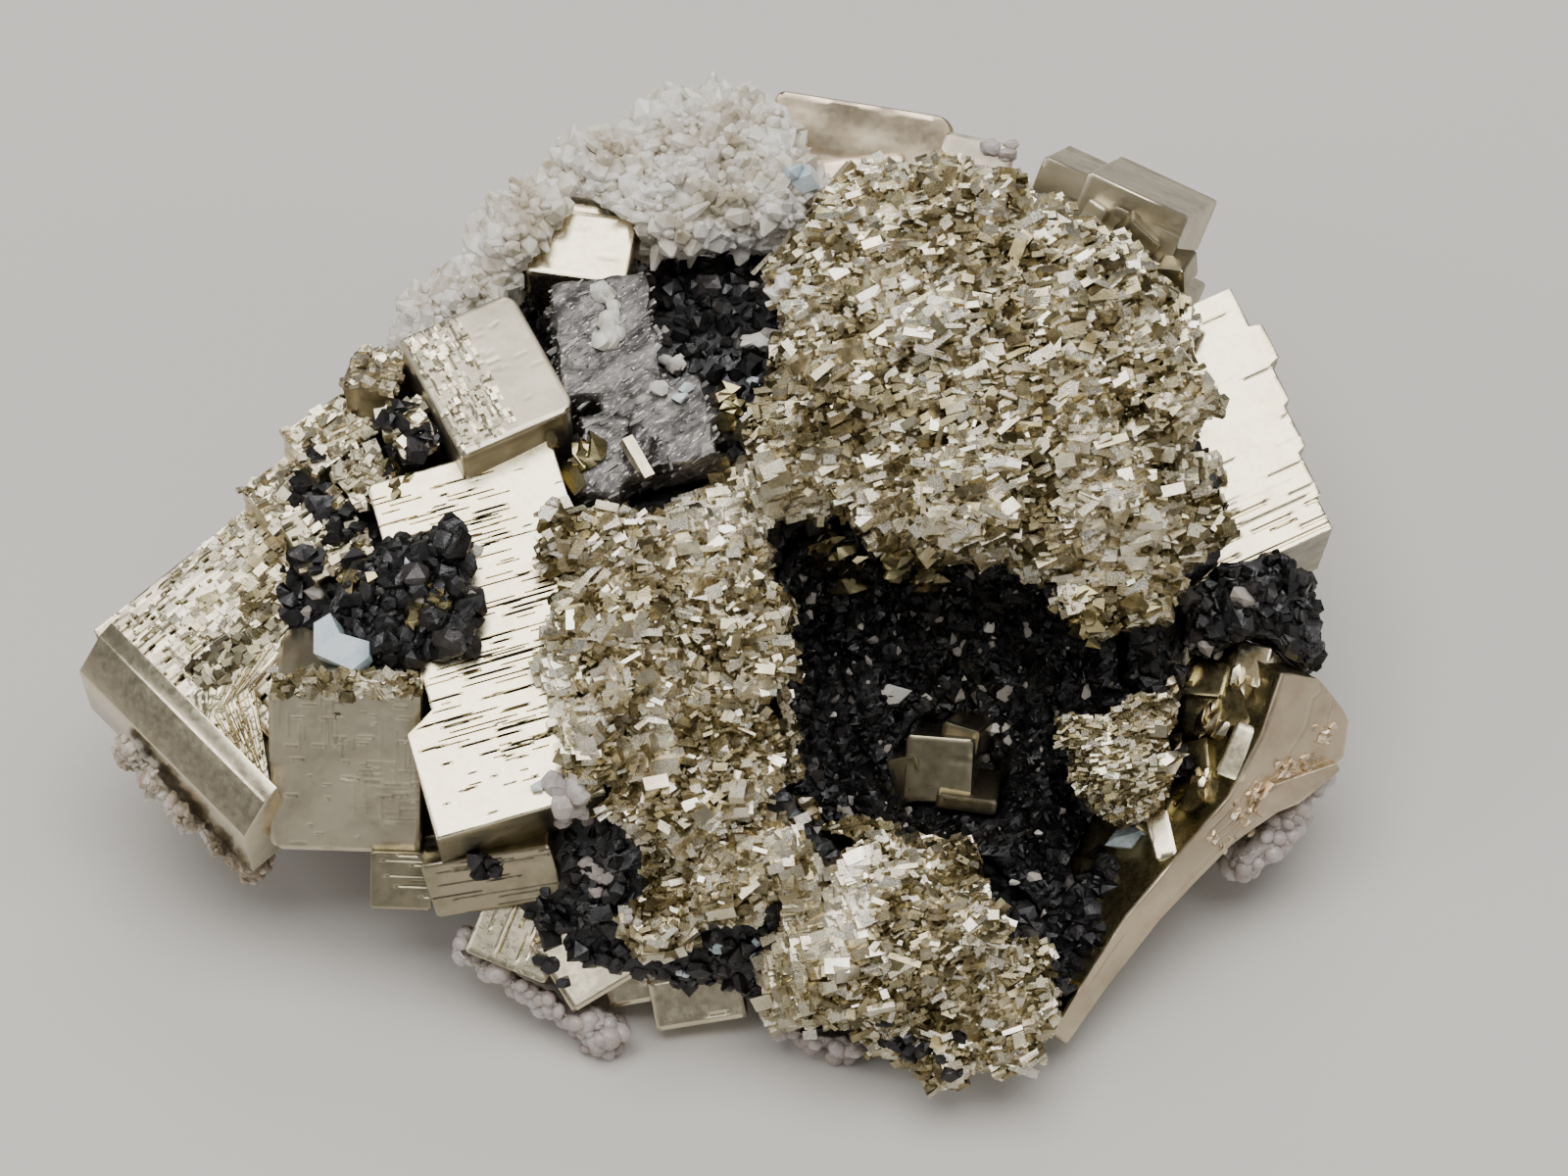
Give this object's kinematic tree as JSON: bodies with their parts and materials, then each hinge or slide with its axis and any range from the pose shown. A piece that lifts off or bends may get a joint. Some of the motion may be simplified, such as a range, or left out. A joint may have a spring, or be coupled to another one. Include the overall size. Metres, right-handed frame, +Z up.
{
  "type": "pyrite cluster",
  "caption": "Mineral specimen: striated pyrite cubes and knobs of fine pyrite with dark sphalerite and white quartz round an open hollow, broken flat underneath so that it rests on a shelf.",
  "frame": {"origin": "middle of the whole specimen's box, on the flat break that it rests on", "axes": "+X to the right along the specimen's length, +Y towards its back, +Z up; the show face leans back 38 degrees"},
  "size_m": [0.0737, 0.0596, 0.0357],
  "materials": {
    "sphalerite": "glossy near-black crystals, broken and knobbly",
    "pyrite_crystal": "bright pale brass-yellow crystal faces with fine striae and steps",
    "pyrite_druse": "a sparkling skin of very small stepped pyrite crystals",
    "grey_sulphide": "dull grey, half metallic, etched",
    "quartz": "milky white crystals, glassy and slightly see-through"
  },
  "bodies": {
    "root": {"sphalerite_body": "sphalerite", "left_sphalerite_patch": "sphalerite", "right_sphalerite_mass": "sphalerite", "hollow_crystal_crust": "sphalerite", "left_cube_cluster": "pyrite_crystal", "upper_left_cube": "pyrite_crystal", "back_bright_cube": "pyrite_crystal", "right_stepped_cube": "pyrite_crystal", "upper_right_cubes": "pyrite_crystal", "right_plate_crystal": "pyrite_crystal", "left_small_crystals": "pyrite_crystal", "front_cubes": "pyrite_crystal", "back_pyrite_blocks": "pyrite_crystal", "hollow_pyrite_cube": "pyrite_crystal", "small_druse_ball": "pyrite_druse", "upper_druse_knob": "pyrite_druse", "middle_druse_ridge": "pyrite_druse", "lower_druse_knob": "pyrite_druse", "grey_sulphide_mass": "grey_sulphide", "pale_chip": "grey_sulphide", "left_edge_crust": "quartz", "front_quartz_beads": "quartz", "knob_quartz_beads": "quartz", "right_quartz_beads": "quartz", "back_quartz_crust": "quartz"}
  },
  "joints": []
}
